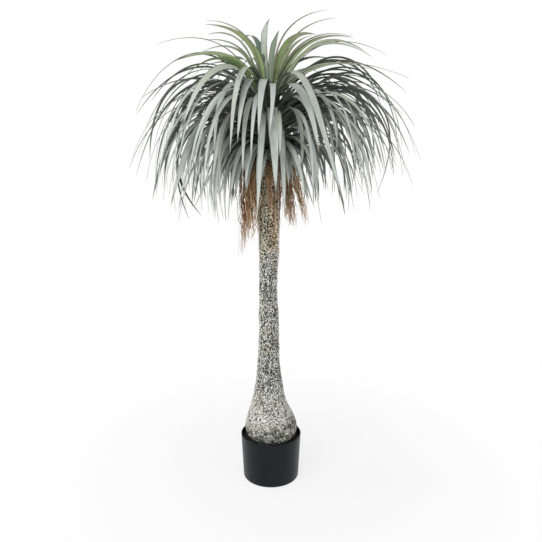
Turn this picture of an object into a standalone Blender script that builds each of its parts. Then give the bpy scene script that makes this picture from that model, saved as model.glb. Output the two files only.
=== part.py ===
"""A potted yucca at its real size, for Blender 4.5.

A swollen-based trunk stands in soil in a plain turned pot. Under the crown hang tufts of dry leaf
fibre, and the crown is made of narrow strap leaves that rise, fold over and droop. The crown of the
living plant has a few hundred leaves; the ones modelled here carry its shape and its reach on every
side. Metres, +Z up, origin at the centre of the pot's underside, front of the plant towards -Y.
"""

import math
import random
from collections import namedtuple

import bmesh
import bpy
from mathutils import Matrix, Vector
from mathutils.bvhtree import BVHTree

# ---- Driving dimensions, in metres and degrees ---------------------------------------------------

GAP = 0.0003                 # air left between pieces that rest on each other
ROUND_SIDES = 48             # facets round the pot, the soil and the trunk

POT_HEIGHT = 0.158
POT_RIM_RADIUS = 0.100
POT_BASE_RADIUS = 0.0925
POT_WALL = 0.0035
POT_FLOOR = 0.006
POT_FOOT_ROUND = 0.008       # radius of the soft edge under the pot
POT_INNER_ROUND = 0.006      # fillet between the inner wall and the floor

SOIL_BELOW_RIM = 0.016

TRUNK_LINE = (               # height above the ground, sideways offset of the trunk's middle
    (0.054, 0.0005), (0.190, 0.0005), (0.210, -0.0004), (0.251, -0.0040),
    (0.284, -0.0064), (0.443, -0.0076), (0.526, -0.0059), (0.607, -0.0088),
    (0.704, -0.0084), (0.784, -0.0074), (1.304, -0.0070),
)
TRUNK_PROFILE = (            # height above the ground, radius
    (0.054, 0.0400), (0.090, 0.0520), (0.120, 0.0600), (0.142, 0.0675),
    (0.150, 0.0755), (0.157, 0.0800), (0.169, 0.0838), (0.184, 0.0858),
    (0.196, 0.0850), (0.210, 0.0810), (0.230, 0.0750), (0.251, 0.0656),
    (0.273, 0.0577), (0.295, 0.0518), (0.338, 0.0443), (0.370, 0.0403),
    (0.401, 0.0370), (0.443, 0.0342), (0.544, 0.0325), (0.607, 0.0300),
    (0.679, 0.0289), (0.764, 0.0308), (0.944, 0.0308), (1.044, 0.0320),
    (1.089, 0.0330), (1.249, 0.0330), (1.270, 0.0290), (1.286, 0.0205),
    (1.295, 0.0110), (1.299, 0.0030),
)

LEAF_ZONE = (1.096, 1.290)   # heights of the lowest and the highest leaf base
LEAF_SEAT = 0.0006           # from the corners of a leaf's base to the trunk
SEAT_POINTS = 12             # points of a leaf's first cross-sections that are seated
SEAT_ROUNDS = 3              # times the seating is refined
LEAF_STATIONS = 16           # cross-sections along a leaf
LEAF_THICKNESS = 0.0024      # at the midrib, near the base
LEAF_TIP_THICKNESS = 0.35    # thickness near the tip, as a share of the thickness at the base
LEAF_CHANNEL = 0.10          # depth of the V across a leaf, as a share of its width
LEAF_BASE_SHARE = 0.60       # width at the base, as a share of the full width
LEAF_OPENING = 1.6           # how fast the blade widens from its base, in widths per length
LEAF_TAPER_SHARE = 0.55      # share of the length over which the blade narrows to its tip
LEAF_TAPER_POWER = 0.8       # below 1 the taper keeps its width a little longer
LEAF_TWIST_SHARE = 0.20      # share of the length over which the blade takes up its twist
LEAF_CLEARANCE = 0.0005      # air kept round a leaf while its place is sought
TURN_STEP = 2.0              # degrees a leaf is turned at a time while its place is sought
TURN_TRIES = 32

RULE_LEAVES = 25             # leaves placed by rule, behind and beside the chosen front leaves
FRONT = -90.0                # azimuth that faces the front
FRONT_HALF_ANGLE = 38.0      # sector at the front that the rule leaves free
RULE_TOP_TIER = 0.88         # the rule stops below the young leaves at the top
GOLDEN_SHARE = 0.618034
SEED = 7

TUFT_STATIONS = 8
TUFT_SIDES = 8
TUFT_FLATNESS = 0.55         # radial thickness of a tuft, as a share of its width
TUFT_TOP = 1.080             # height of the tufts' upper ends
TUFT_LAUNCH = -18            # degrees above the horizon at a tuft's upper end
TUFT_HANG = -87              # and at its lower end
TUFT_FOLD = (0.12, 0.38)     # share of the length at the fold, for a throw of 0 and of 1
TUFT_SNAP = 3.0
TUFT_GROWTH = (0.0, 0.35, 0.7, 1.0)   # shares of the length at which a tuft's width is set
TUFT_WIDTHS = (0.35, 1.0, 0.8, 0.25)  # width there, as a share of the full width

# azimuth: degrees about the trunk, 0 at +X.  base: height of the leaf's base.  launch, hang: degrees
# above the horizon at the base and at the tip.  fold: share of the length at which the leaf has
# turned half-way from launch to hang.  snap: how suddenly it folds.  sway: degrees its heading
# turns.  roll: degrees the blade is twisted about its own line once it is past LEAF_TWIST_SHARE.
Leaf = namedtuple("Leaf", "azimuth base launch length fold snap hang sway width roll")

FRONT_LEAVES = (             # the pale drooping leaves that show in front, chosen one by one
    Leaf(-85, 1.251, 30, 0.353, 0.47, 2.5, -72, -19, 0.018, 0),
    Leaf(-96, 1.188, 31, 0.411, 0.22, 3.0, -77, -10, 0.020, 0),
    Leaf(-85, 1.206, 22, 0.344, 0.27, 3.4, -80, 5, 0.033, 0),
    Leaf(-75, 1.172, 22, 0.360, 0.22, 3.5, -82, -4, 0.020, 0),
    Leaf(-111, 1.250, 43, 0.333, 0.39, 3.2, -82, 4, 0.022, 0),
    Leaf(-114, 1.275, 39, 0.414, 0.37, 3.8, -83, 4, 0.022, 0),
    Leaf(-96, 1.272, 32, 0.299, 0.40, 2.6, -79, -2, 0.024, 0),
    Leaf(-111, 1.204, 44, 0.360, 0.33, 3.2, -88, 13, 0.018, 0),
    Leaf(-55, 1.272, 41, 0.543, 0.22, 3.5, -68, 10, 0.022, 20),
    Leaf(-57, 1.254, 34, 0.347, 0.36, 2.6, -80, -6, 0.028, 10),
    Leaf(-57, 1.113, 0, 0.240, 0.35, 2.1, -69, 5, 0.022, 10),
    Leaf(-36, 1.226, 34, 0.339, 0.46, 3.5, -88, -19, 0.020, 30),
    Leaf(-139, 1.260, 49, 0.396, 0.45, 2.7, -83, 1, 0.026, -30),
)

TOP_LEAVES = (               # the young upright and arching leaves at the top
    Leaf(110, 1.288, 77, 0.222, 0.85, 2.5, 30, -60, 0.019, 0),
    Leaf(66, 1.291, 88, 0.171, 0.79, 2.8, 27, -9, 0.020, 0),
    Leaf(143, 1.291, 80, 0.319, 0.62, 1.8, -29, 7, 0.023, -35),
    Leaf(167, 1.288, 82, 0.282, 0.79, 2.5, -47, -2, 0.010, -40),
    Leaf(-156, 1.281, 53, 0.302, 0.60, 2.2, -47, -1, 0.020, -45),
    Leaf(42, 1.286, 78, 0.277, 0.73, 2.4, -48, 5, 0.023, 35),
    Leaf(14, 1.292, 88, 0.305, 0.78, 2.3, -42, 0, 0.010, 40),
    Leaf(0, 1.284, 81, 0.290, 0.77, 2.4, -37, 1, 0.011, 40),
    Leaf(-19, 1.268, 58, 0.331, 0.67, 3.7, -53, -5, 0.016, 40),
    Leaf(-27, 1.260, 41, 0.431, 0.57, 1.8, -46, 1, 0.022, 45),
)

# How the crown changes from its lowest leaves (tier 0) to its highest (tier 1).
TIERS = (0.00, 0.20, 0.35, 0.50, 0.65, 0.75, 0.85, 0.93, 1.00)
TIER_LAUNCH = (8, 22, 32, 40, 48, 55, 64, 74, 86)
TIER_LENGTH = (0.32, 0.42, 0.49, 0.54, 0.54, 0.46, 0.36, 0.28, 0.16)
TIER_FOLD = (0.34, 0.36, 0.37, 0.38, 0.42, 0.52, 0.64, 0.75, 1.10)
TIER_SNAP = (2.6, 2.8, 2.8, 2.8, 2.6, 2.4, 2.4, 2.4, 2.0)
TIER_HANG = (-84, -84, -84, -84, -80, -66, -54, -45, -10)
TIER_WIDTH = (0.017, 0.018, 0.018, 0.018, 0.018, 0.017, 0.016, 0.016, 0.014)
RULE_ROLL = 40               # most degrees that a leaf placed by rule is twisted, either way
GREEN_TIER = 0.84            # leaves above this tier are young and green
GREEN_BASE = LEAF_ZONE[0] + GREEN_TIER * (LEAF_ZONE[1] - LEAF_ZONE[0])

# azimuth, length and width of each hanging tuft, and how far out it is thrown: 0 hugs the trunk
Tuft = namedtuple("Tuft", "azimuth length width throw")
TUFTS = (
    Tuft(148, 0.27, 0.036, 0.10),
    Tuft(-174, 0.31, 0.038, 0.12),
    Tuft(-136, 0.25, 0.034, 0.06),
    Tuft(-38, 0.23, 0.034, 0.14),
    Tuft(-2, 0.25, 0.038, 0.34),
    Tuft(36, 0.25, 0.036, 0.16),
    Tuft(74, 0.26, 0.036, 0.20),
    Tuft(110, 0.28, 0.036, 0.22),
)

POT_COLOUR = (0.020, 0.023, 0.026)
SOIL_COLOUR = (0.022, 0.017, 0.013)
TRUNK_COLOUR = (0.330, 0.320, 0.270)
FIBRE_COLOUR = (0.180, 0.095, 0.055)
OLD_LEAF_COLOUR = (0.310, 0.370, 0.320)
YOUNG_LEAF_COLOUR = (0.190, 0.310, 0.115)


# ---- Helpers -------------------------------------------------------------------------------------

def clear_scene():
    for old in list(bpy.data.objects):
        bpy.data.objects.remove(old, do_unlink=True)


def plain_material(name, colour, roughness):
    material = bpy.data.materials.new(name + "_material")
    material.use_nodes = True
    shader = material.node_tree.nodes["Principled BSDF"]
    shader.inputs["Base Color"].default_value = (*colour, 1.0)
    shader.inputs["Roughness"].default_value = roughness
    shader.inputs["Metallic"].default_value = 0.0
    return material


def add_object(name, points, faces, colour, roughness, sharp_angle=35.0):
    mesh = bpy.data.meshes.new(name)
    mesh.from_pydata([tuple(point) for point in points], [], faces)
    work = bmesh.new()
    work.from_mesh(mesh)
    bmesh.ops.recalc_face_normals(work, faces=work.faces)
    work.to_mesh(mesh)
    work.free()
    mesh.shade_smooth()
    mesh.set_sharp_from_angle(angle=math.radians(sharp_angle))
    mesh.materials.append(plain_material(name, colour, roughness))
    new_object = bpy.data.objects.new(name, mesh)
    bpy.context.scene.collection.objects.link(new_object)
    return new_object


def between(value, keys, values):
    """Straight-line interpolation of values over rising keys."""
    if value <= keys[0]:
        return values[0]
    for (key_a, a), (key_b, b) in zip(zip(keys, values), zip(keys[1:], values[1:])):
        if value <= key_b:
            return a + (b - a) * (value - key_a) / (key_b - key_a)
    return values[-1]


def skin_rings(rings, end_point=None):
    """Join equal rings of points, in order, into one closed solid."""
    sides = len(rings[0])
    points = [point for ring in rings for point in ring]
    faces = [tuple(reversed(range(sides)))]
    for row in range(len(rings) - 1):
        for side in range(sides):
            after = (side + 1) % sides
            low, high = row * sides, (row + 1) * sides
            faces.append((low + side, low + after, high + after, high + side))
    last = (len(rings) - 1) * sides
    if end_point is None:
        faces.append(tuple(range(last, last + sides)))
    else:
        points.append(end_point)
        for side in range(sides):
            faces.append((last + side, last + (side + 1) % sides, len(points) - 1))
    return points, faces


def arc(centre_radius, centre_height, size, start, end, steps):
    """Points of a quarter-round in a turned profile, as (height, radius)."""
    turned = []
    for step in range(steps + 1):
        angle = math.radians(start + (end - start) * step / steps)
        turned.append((centre_height + size * math.sin(angle),
                       centre_radius + size * math.cos(angle)))
    return turned


def turned_rings(profile, centre_x=lambda height: 0.0):
    rings = []
    for height, radius in profile:
        rings.append([Vector((centre_x(height) + radius * math.cos(angle),
                              radius * math.sin(angle), height))
                      for angle in (math.tau * side / ROUND_SIDES for side in range(ROUND_SIDES))])
    return rings


# ---- Pot, soil and trunk -------------------------------------------------------------------------

def trunk_x(height):
    return between(height, [row[0] for row in TRUNK_LINE], [row[1] for row in TRUNK_LINE])


def trunk_radius(height):
    return between(height, [row[0] for row in TRUNK_PROFILE], [row[1] for row in TRUNK_PROFILE])


def pot_outer_radius(height):
    return POT_BASE_RADIUS + (POT_RIM_RADIUS - POT_BASE_RADIUS) * height / POT_HEIGHT


def make_pot():
    foot_centre = pot_outer_radius(POT_FOOT_ROUND) - POT_FOOT_ROUND
    foot = arc(foot_centre, POT_FOOT_ROUND, POT_FOOT_ROUND, -90, 0, 5)
    lip = POT_WALL / 2
    rim = arc(POT_RIM_RADIUS - lip, POT_HEIGHT - lip, lip, 0, 180, 6)
    inner_radius = pot_outer_radius(POT_FLOOR + POT_INNER_ROUND) - POT_WALL
    fillet = arc(inner_radius - POT_INNER_ROUND, POT_FLOOR + POT_INNER_ROUND, POT_INNER_ROUND,
                 0, -90, 3)
    points, faces = skin_rings(turned_rings(foot + rim + fillet))
    return add_object("pot", points, faces, POT_COLOUR, 0.45)


def make_soil():
    top = POT_HEIGHT - SOIL_BELOW_RIM
    bottom = POT_FLOOR + GAP
    corner = bottom + POT_INNER_ROUND
    wall = POT_WALL + GAP
    outer = [(bottom, pot_outer_radius(bottom) - wall - POT_INNER_ROUND),
             (corner, pot_outer_radius(corner) - wall - GAP),
             (top, pot_outer_radius(top) - wall - GAP)]
    bed_bottom = TRUNK_PROFILE[0][0] - GAP
    bed = [(top, trunk_radius(top) + 2 * GAP)]
    for height, radius in reversed(TRUNK_PROFILE):
        if bed_bottom + GAP < height < top:
            bed.append((height, radius + 2 * GAP))
    bed.append((bed_bottom, TRUNK_PROFILE[0][1] + 2 * GAP))
    rings = turned_rings(outer) + turned_rings(bed, trunk_x)
    points, faces = skin_rings(rings)
    return add_object("soil", points, faces, SOIL_COLOUR, 0.95)


def make_trunk():
    points, faces = skin_rings(turned_rings(TRUNK_PROFILE, trunk_x))
    return add_object("trunk", points, faces, TRUNK_COLOUR, 0.85, 60.0)


# ---- Leaves and tufts ----------------------------------------------------------------------------

def drooping_line(azimuth, start, launch, length, fold, snap, hang, sway, stations):
    """Points and headings of a line that leaves the trunk at launch and folds over to hang."""
    step = length / stations
    point = start.copy()
    points, headings = [point.copy()], []
    for index in range(stations):
        share = (index + 0.5) / stations
        elevation = math.radians(hang + (launch - hang) / (1.0 + (share / fold) ** snap))
        heading = math.radians(azimuth + sway * share * share)
        direction = Vector((math.cos(elevation) * math.cos(heading),
                            math.cos(elevation) * math.sin(heading), math.sin(elevation)))
        point += direction * step
        points.append(point.copy())
        headings.append((direction, heading))
    headings.append(headings[-1])
    return points, headings


def blade_width(share):
    """Width of a leaf at a share of its length, as a share of its full width."""
    opening = min(1.0, LEAF_BASE_SHARE + LEAF_OPENING * share)
    taper = min(1.0, (1.0 - share) / LEAF_TAPER_SHARE) ** LEAF_TAPER_POWER
    return opening * taper


def base_point(azimuth, height, radius):
    turn = math.radians(azimuth)
    return Vector((trunk_x(height) + radius * math.cos(turn), radius * math.sin(turn), height))


def leaf_solid(leaf, out=0.0, grow=0.0):
    """Skin of one leaf: a shallow V across, with a thin edge on each side."""
    start = base_point(leaf.azimuth, leaf.base, trunk_radius(leaf.base) + out)
    line, headings = drooping_line(leaf.azimuth, start, leaf.launch, leaf.length, leaf.fold,
                                   leaf.snap, leaf.hang, leaf.sway, LEAF_STATIONS)
    rings = []
    for index in range(LEAF_STATIONS):
        share = index / LEAF_STATIONS
        direction, heading = headings[index]
        if index:
            direction = (direction + headings[index - 1][0]).normalized()
        across = Vector((-math.sin(heading), math.cos(heading), 0.0))
        twist = math.radians(leaf.roll) * min(1.0, share / LEAF_TWIST_SHARE)
        across = Matrix.Rotation(twist, 3, direction) @ across
        normal = direction.cross(across)
        width = leaf.width * blade_width(share)
        thickness = LEAF_THICKNESS * (1.0 - (1.0 - LEAF_TIP_THICKNESS) * share)
        edge = across * (width / 2 + grow)
        lift = normal * (width * LEAF_CHANNEL)
        centre = line[index]
        rings.append([centre - edge + lift, centre - normal * (thickness / 2 + grow),
                      centre + edge + lift, centre + normal * (thickness / 2 + grow)])
    return skin_rings(rings, line[-1])


def tree_of(solid):
    return BVHTree.FromPolygons(solid[0], solid[1])


def seat_on(solid, tree, start_out):
    """How far out a leaf's base has to start so that its nearest corner lies LEAF_SEAT away."""
    nearest = min(signed_distance(point, tree) for point in solid[0][:SEAT_POINTS])
    return start_out + LEAF_SEAT - nearest


def signed_distance(point, tree):
    spot, normal, _, distance = tree.find_nearest(point)
    return distance if (point - spot).dot(normal) > 0 else -distance


def seated_leaf(leaf, trunk_tree):
    out = LEAF_SEAT
    for _ in range(SEAT_ROUNDS):
        out = seat_on(leaf_solid(leaf, out), trunk_tree, out)
    return out


def settle(leaf, trunk_tree, placed):
    """Turn a leaf about the trunk in small steps until it clears all that is already placed."""
    for attempt in range(TURN_TRIES):
        turn = TURN_STEP * ((attempt + 1) // 2) * (1 if attempt % 2 else -1)
        turned = leaf._replace(azimuth=leaf.azimuth + turn)
        out = seated_leaf(turned, trunk_tree)
        room = tree_of(leaf_solid(turned, out, LEAF_CLEARANCE))
        if not any(room.overlap(other) for other in placed):
            return turned, out
    raise ValueError("no room for the leaf at azimuth %.0f" % leaf.azimuth)


def rule_leaves():
    """Leaves on a golden-angle spiral from the lowest tier to the highest, the front left free."""
    chance = random.Random(SEED)
    sector = 360.0 - 2 * FRONT_HALF_ANGLE
    for index in range(RULE_LEAVES):
        tier = RULE_TOP_TIER * (index + 0.5) / RULE_LEAVES
        azimuth = FRONT + FRONT_HALF_ANGLE + sector * ((index * GOLDEN_SHARE) % 1.0)
        low, high = LEAF_ZONE
        yield Leaf(azimuth=azimuth,
                   base=low + (high - low) * tier,
                   launch=between(tier, TIERS, TIER_LAUNCH) + chance.uniform(-4, 4),
                   length=between(tier, TIERS, TIER_LENGTH) * chance.uniform(0.95, 1.1),
                   fold=between(tier, TIERS, TIER_FOLD),
                   snap=between(tier, TIERS, TIER_SNAP),
                   hang=between(tier, TIERS, TIER_HANG),
                   sway=chance.uniform(-10, 10),
                   width=between(tier, TIERS, TIER_WIDTH),
                   roll=chance.uniform(-RULE_ROLL, RULE_ROLL))


def make_leaves(trunk_tree, placed):
    wanted = list(FRONT_LEAVES) + list(TOP_LEAVES) + list(rule_leaves())
    for number, leaf in enumerate(wanted, start=1):
        settled, out = settle(leaf, trunk_tree, placed)
        solid = leaf_solid(settled, out)
        placed.append(tree_of(solid))
        young = leaf.base > GREEN_BASE and leaf not in FRONT_LEAVES
        colour = YOUNG_LEAF_COLOUR if young else OLD_LEAF_COLOUR
        add_object("leaf_%02d" % number, solid[0], solid[1], colour, 0.55)


def tuft_solid(tuft):
    """Skin of one tuft: oval across, widest at a third of its length, narrow at its frayed end."""
    start = base_point(tuft.azimuth, TUFT_TOP, trunk_radius(TUFT_TOP) + GAP)
    fold = between(tuft.throw, (0.0, 1.0), TUFT_FOLD)
    line, headings = drooping_line(tuft.azimuth, start, TUFT_LAUNCH, tuft.length, fold, TUFT_SNAP,
                                   TUFT_HANG, 0, TUFT_STATIONS)
    rings = []
    for index in range(TUFT_STATIONS + 1):
        share = index / TUFT_STATIONS
        direction, heading = headings[index]
        if index and index < TUFT_STATIONS:
            direction = (direction + headings[index - 1][0]).normalized()
        across = Vector((-math.sin(heading), math.cos(heading), 0.0))
        normal = direction.cross(across)
        if index == 0:
            normal = Vector((0.0, 0.0, 1.0))
        wide = tuft.width / 2 * between(share, TUFT_GROWTH, TUFT_WIDTHS)
        thick = wide * TUFT_FLATNESS
        centre = line[index]
        rings.append([centre + across * wide * math.cos(angle) + normal * thick * math.sin(angle)
                      for angle in (math.tau * side / TUFT_SIDES for side in range(TUFT_SIDES))])
    return skin_rings(rings)


def make_tufts(placed):
    for number, tuft in enumerate(TUFTS, start=1):
        solid = tuft_solid(tuft)
        placed.append(tree_of(solid))
        add_object("fibre_tuft_%d" % number, solid[0], solid[1], FIBRE_COLOUR, 0.9)


def main():
    clear_scene()
    make_pot()
    make_soil()
    trunk = make_trunk()
    trunk_tree = BVHTree.FromPolygons([vertex.co for vertex in trunk.data.vertices],
                                      [tuple(face.vertices) for face in trunk.data.polygons])
    placed = [trunk_tree]
    make_tufts(placed)
    make_leaves(trunk_tree, placed)


main()
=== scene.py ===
"""Looks of the potted yucca: bark, leaves, dry fibre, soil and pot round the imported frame."""
import math
import random
from collections import namedtuple

import bmesh
import bpy
from mathutils import Matrix, Vector, noise
from mathutils.bvhtree import BVHTree


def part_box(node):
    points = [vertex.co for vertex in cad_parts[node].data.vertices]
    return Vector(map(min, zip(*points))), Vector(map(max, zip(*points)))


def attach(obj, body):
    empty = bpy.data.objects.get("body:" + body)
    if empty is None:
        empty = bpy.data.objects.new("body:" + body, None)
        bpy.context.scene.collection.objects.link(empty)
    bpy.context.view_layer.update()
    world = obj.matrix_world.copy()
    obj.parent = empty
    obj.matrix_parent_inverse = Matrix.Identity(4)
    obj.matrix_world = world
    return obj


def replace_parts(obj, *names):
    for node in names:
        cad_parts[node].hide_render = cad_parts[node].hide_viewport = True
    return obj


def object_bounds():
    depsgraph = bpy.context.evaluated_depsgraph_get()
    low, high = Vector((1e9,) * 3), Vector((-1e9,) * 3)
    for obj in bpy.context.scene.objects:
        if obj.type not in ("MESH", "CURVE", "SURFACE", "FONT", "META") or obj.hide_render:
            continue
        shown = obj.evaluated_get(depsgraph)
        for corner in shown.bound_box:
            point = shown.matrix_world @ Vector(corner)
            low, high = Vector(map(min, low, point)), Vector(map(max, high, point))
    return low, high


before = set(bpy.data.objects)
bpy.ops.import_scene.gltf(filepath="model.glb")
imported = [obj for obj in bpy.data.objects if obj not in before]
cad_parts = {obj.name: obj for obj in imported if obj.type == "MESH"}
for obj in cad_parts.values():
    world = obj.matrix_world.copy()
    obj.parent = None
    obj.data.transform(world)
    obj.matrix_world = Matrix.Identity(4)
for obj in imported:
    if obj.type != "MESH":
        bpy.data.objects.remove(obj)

CAD_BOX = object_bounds()

# ---- Sizes that the construction also uses, in metres and degrees ----

POT_HEIGHT = 0.158
POT_RIM_RADIUS = 0.100
POT_BASE_RADIUS = 0.0925
POT_WALL = 0.0035
POT_FLOOR = 0.006
POT_FOOT_ROUND = 0.008
POT_INNER_ROUND = 0.006
SOIL_BELOW_RIM = 0.016

# The two trunk tables started from the widths of the trunk in the photo, measured by a separate
# program, and were revised later.
TRUNK_LINE = (               # height above the ground, sideways offset of the trunk's middle
    (0.054, 0.0005), (0.190, 0.0005), (0.210, -0.0004), (0.251, -0.0040),
    (0.284, -0.0064), (0.443, -0.0076), (0.526, -0.0059), (0.607, -0.0088),
    (0.704, -0.0084), (0.784, -0.0074), (1.304, -0.0070),
)
TRUNK_PROFILE = (            # height above the ground, radius
    (0.054, 0.0400), (0.090, 0.0520), (0.120, 0.0600), (0.142, 0.0675),
    (0.150, 0.0755), (0.157, 0.0800), (0.169, 0.0838), (0.184, 0.0858),
    (0.196, 0.0850), (0.210, 0.0810), (0.230, 0.0750), (0.251, 0.0656),
    (0.273, 0.0577), (0.295, 0.0518), (0.338, 0.0443), (0.370, 0.0403),
    (0.401, 0.0370), (0.443, 0.0342), (0.544, 0.0325), (0.607, 0.0300),
    (0.679, 0.0289), (0.764, 0.0308), (0.944, 0.0308), (1.044, 0.0320),
    (1.089, 0.0330), (1.249, 0.0330), (1.270, 0.0290), (1.286, 0.0205),
    (1.295, 0.0110), (1.299, 0.0030),
)

LEAF_ZONE = (1.096, 1.290)
LEAF_SEAT = 0.0012
LEAF_BASE_SHARE = 0.60
LEAF_OPENING = 1.6
LEAF_TAPER_SHARE = 0.55
LEAF_TAPER_POWER = 0.8
LEAF_TWIST_SHARE = 0.20
FRONT = -90.0
FRONT_HALF_ANGLE = 38.0
GOLDEN_SHARE = 0.618034
RULE_LEAVES = 25
RULE_TOP_TIER = 0.88
SEED = 7
TURN_STEP = 2.0
TURN_TRIES = 32

TUFT_TOP = 1.080
TUFT_LAUNCH = -18
TUFT_HANG = -87
TUFT_FOLD = (0.12, 0.38)
TUFT_SNAP = 3.0

Leaf = namedtuple("Leaf", "azimuth base launch length fold snap hang sway width roll")

# In FRONT_LEAVES, TOP_LEAVES and EXTRA_CHOSEN a separate program fitted azimuth to sway of each leaf
# to the line of one in the photo. They were rounded, the bases raised by 4 mm, and a few changed.
# Widths, rolls and looks are listed one by one.
FRONT_LEAVES = (             # the pale drooping leaves that show in front
    Leaf(-85, 1.251, 30, 0.353, 0.47, 2.5, -72, -19, 0.018, 0),
    Leaf(-96, 1.188, 31, 0.411, 0.22, 3.0, -77, -10, 0.020, 0),
    Leaf(-85, 1.206, 22, 0.344, 0.27, 3.4, -80, 5, 0.033, 0),
    Leaf(-75, 1.172, 22, 0.360, 0.22, 3.5, -82, -4, 0.020, 0),
    Leaf(-111, 1.250, 43, 0.333, 0.39, 3.2, -82, 4, 0.022, 0),
    Leaf(-114, 1.275, 39, 0.414, 0.37, 3.8, -83, 4, 0.022, 0),
    Leaf(-96, 1.272, 32, 0.299, 0.40, 2.6, -79, -2, 0.024, 0),
    Leaf(-111, 1.204, 44, 0.360, 0.33, 3.2, -88, 13, 0.018, 0),
    Leaf(-55, 1.272, 41, 0.543, 0.22, 3.5, -68, 10, 0.022, 20),
    Leaf(-57, 1.254, 34, 0.347, 0.36, 2.6, -80, -6, 0.028, 10),
    Leaf(-57, 1.113, 0, 0.240, 0.35, 2.1, -69, 5, 0.022, 10),
    Leaf(-36, 1.226, 34, 0.339, 0.46, 3.5, -88, -19, 0.020, 30),
    Leaf(-139, 1.260, 49, 0.396, 0.45, 2.7, -83, 1, 0.026, -30),
)

TOP_LEAVES = (               # the young upright and arching leaves at the top
    Leaf(110, 1.288, 77, 0.222, 0.85, 2.5, 30, -60, 0.019, 0),
    Leaf(66, 1.291, 88, 0.171, 0.79, 2.8, 27, -9, 0.020, 0),
    Leaf(143, 1.291, 80, 0.319, 0.62, 1.8, -29, 7, 0.023, -35),
    Leaf(167, 1.288, 82, 0.282, 0.79, 2.5, -47, -2, 0.010, -40),
    Leaf(-156, 1.281, 53, 0.302, 0.60, 2.2, -47, -1, 0.020, -45),
    Leaf(42, 1.286, 78, 0.277, 0.73, 2.4, -48, 5, 0.023, 35),
    Leaf(14, 1.292, 88, 0.305, 0.78, 2.3, -42, 0, 0.010, 40),
    Leaf(0, 1.284, 81, 0.290, 0.77, 2.4, -37, 1, 0.011, 40),
    Leaf(-19, 1.268, 58, 0.331, 0.67, 3.7, -53, -5, 0.016, 40),
    Leaf(-27, 1.260, 41, 0.431, 0.57, 1.8, -46, 1, 0.022, 45),
)

TIERS = (0.00, 0.20, 0.35, 0.50, 0.65, 0.75, 0.85, 0.93, 1.00)
TIER_LAUNCH = (8, 22, 32, 40, 48, 55, 64, 74, 86)
TIER_LENGTH = (0.32, 0.42, 0.49, 0.54, 0.54, 0.46, 0.36, 0.28, 0.16)
TIER_FOLD = (0.34, 0.36, 0.37, 0.38, 0.42, 0.52, 0.64, 0.75, 1.10)
TIER_SNAP = (2.6, 2.8, 2.8, 2.8, 2.6, 2.4, 2.4, 2.4, 2.0)
TIER_HANG = (-84, -84, -84, -84, -80, -66, -54, -45, -10)
TIER_WIDTH = (0.017, 0.018, 0.018, 0.018, 0.018, 0.017, 0.016, 0.016, 0.014)
RULE_ROLL = 40               # most degrees that a leaf placed by rule is twisted, either way

Tuft = namedtuple("Tuft", "azimuth length width throw")
TUFTS = (
    Tuft(148, 0.27, 0.036, 0.10),
    Tuft(-174, 0.31, 0.038, 0.12),
    Tuft(-136, 0.25, 0.034, 0.06),
    Tuft(-38, 0.23, 0.034, 0.14),
    Tuft(-2, 0.25, 0.038, 0.34),
    Tuft(36, 0.25, 0.036, 0.16),
    Tuft(74, 0.26, 0.036, 0.20),
    Tuft(110, 0.28, 0.036, 0.22),
)

# ---- Sizes of the fine surface ----

BLADE_STATIONS = 36          # cross-sections along a leaf
BLADE_HALF = 3               # points from the midrib to one edge of a leaf
BLADE_THICKNESS = 0.0013     # at the midrib near the trunk
TIP_THICKNESS = 0.35         # at the tip, against that
CHANNEL_DEPTH = 0.075        # how far the edges stand above the midrib, against the width
CHANNEL_AT_BASE = (0.12, 0.4)   # what the base adds to it, and the share of the length it fades over
RIPPLE = 0.02                # height of the slow waves along a blade, against its width
RIPPLE_COUNTS = (2.0, 4.0)   # fewest and most waves along a blade
PROXY_STATIONS = 16          # cross-sections of a leaf's plain stand-in
PROXY_HALF_THICKNESS = 0.0012
PROXY_CHANNEL = 0.10         # how far its edges stand up, against its width
ROOT_DEPTH = 0.005           # how deep the root of a blade sits in the trunk
MAX_CURL = 25.0              # degrees that a blade may twist further on its way to the tip
YOUTH_HEIGHTS = (1.252, 1.268)   # leaf bases between these heights turn from old to young

Look = namedtuple("Look", "youth dry taper width curl", defaults=(0.0, 0.0, 1.0, 1.0, None))
LOOKS = {                    # looks of the numbered leaves that don't follow from their height
    6: Look(0.18), 11: Look(0.45), 13: Look(0.06),
    14: Look(0.24, taper=0.45), 15: Look(0.42, -0.6, taper=0.5),
    16: Look(1.0, taper=1.25), 17: Look(0.7, 0.5, width=0.7), 18: Look(0.9, taper=1.2),
    19: Look(1.0, taper=0.9), 20: Look(0.5, 0.85, width=0.65), 21: Look(0.7, 0.6, width=0.75),
    22: Look(0.7, 0.15), 23: Look(0.5, 0.35, taper=1.6, width=0.75, curl=-70.0),
    45: Look(0.8), 46: Look(0.5), 48: Look(0.5, 0.75, taper=1.6, width=0.65),
}

EXTRA_PLACES = 535           # places on the spiral of the extra leaves; about half stay empty
EXTRA_CROWDING = (1.5, 1.6, 1.6, 1.4, 0.7, 0.30, 0.12, 0.06, 0.05)   # how crowded each tier is
EXTRA_LENGTH = (0.25, 0.38, 0.47, 0.52, 0.50, 0.43, 0.34, 0.27, 0.16)
EXTRA_FOLD = (0.42, 0.47, 0.50, 0.50, 0.54, 0.60, 0.66, 0.75, 1.10)
EXTRA_WIDTHS = (0.60, 1.15)   # narrowest and widest extra leaf against the tier's width
EXTRA_ROLLS = (35.0, 16.0)   # most degrees of twist in front and behind, and at the two sides
EXTRA_CURLS = (60.0, 25.0)   # and what the twist may grow by towards the tip
LOW_TO_HIGH = (0.35, 0.65)   # tiers between which low leaves give way to high ones
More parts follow.
